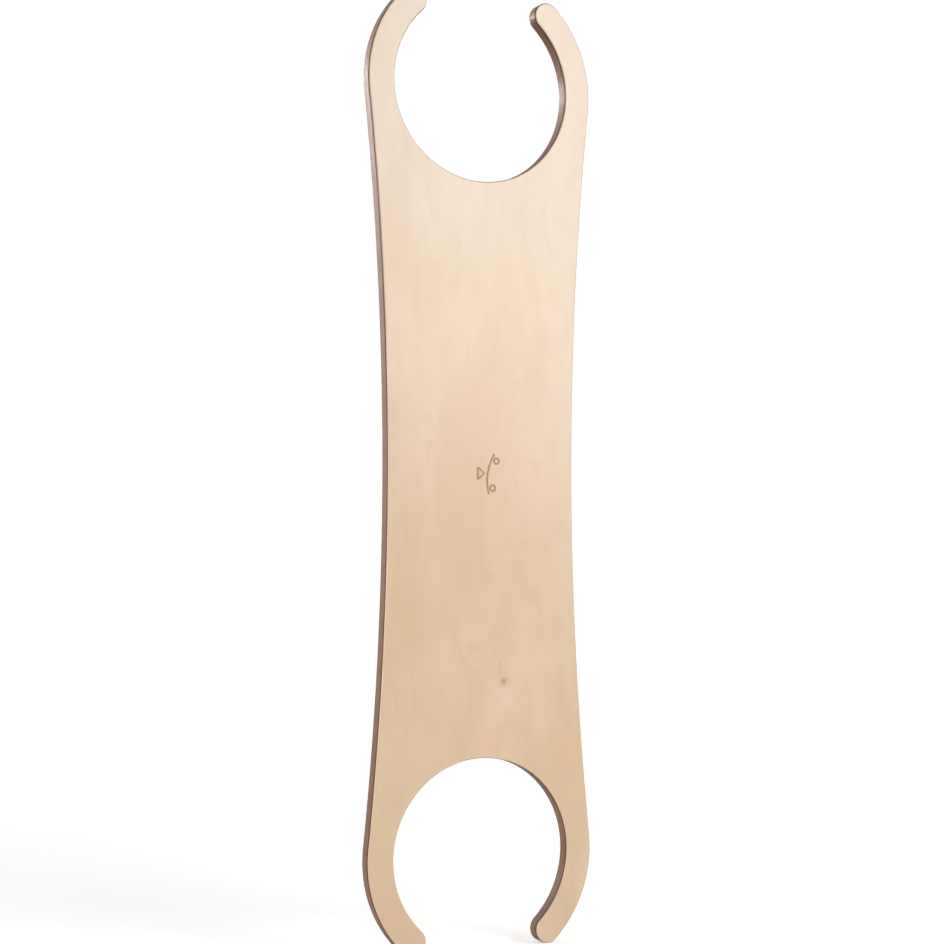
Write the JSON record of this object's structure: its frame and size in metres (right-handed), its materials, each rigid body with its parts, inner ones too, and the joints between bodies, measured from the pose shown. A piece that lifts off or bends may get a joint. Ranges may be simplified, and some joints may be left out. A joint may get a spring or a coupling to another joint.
{
  "type": "seesaw board",
  "caption": "Long waisted plywood seesaw board whose two ends open into C-shaped round forks, with rounded edges, built from its glued plies.",
  "frame": {"origin": "on the floor, midway between the two tips that the board stands on, halfway through its thickness", "axes": "+Z along the board's length, from the end it stands on to the other end; X across its width; the riding face looks towards -Y and the underside towards +Y"},
  "size_m": [0.31, 0.018, 1.2],
  "materials": {
    "face_veneer": "satin lacquer",
    "long_ply": "sanded and lacquered edge",
    "cross_ply": "sanded and lacquered edge, mostly end grain"
  },
  "bodies": {
    "root": {"ply_01_riding_face": "face_veneer", "ply_02_cross": "cross_ply", "ply_03_long": "long_ply", "ply_04_cross": "cross_ply", "ply_05_long": "long_ply", "ply_06_cross": "cross_ply", "ply_07_long": "long_ply", "ply_08_cross": "cross_ply", "ply_09_long": "long_ply", "ply_10_cross": "cross_ply", "ply_11_long": "long_ply", "ply_12_cross": "cross_ply", "ply_13_underside": "face_veneer"}
  },
  "joints": []
}
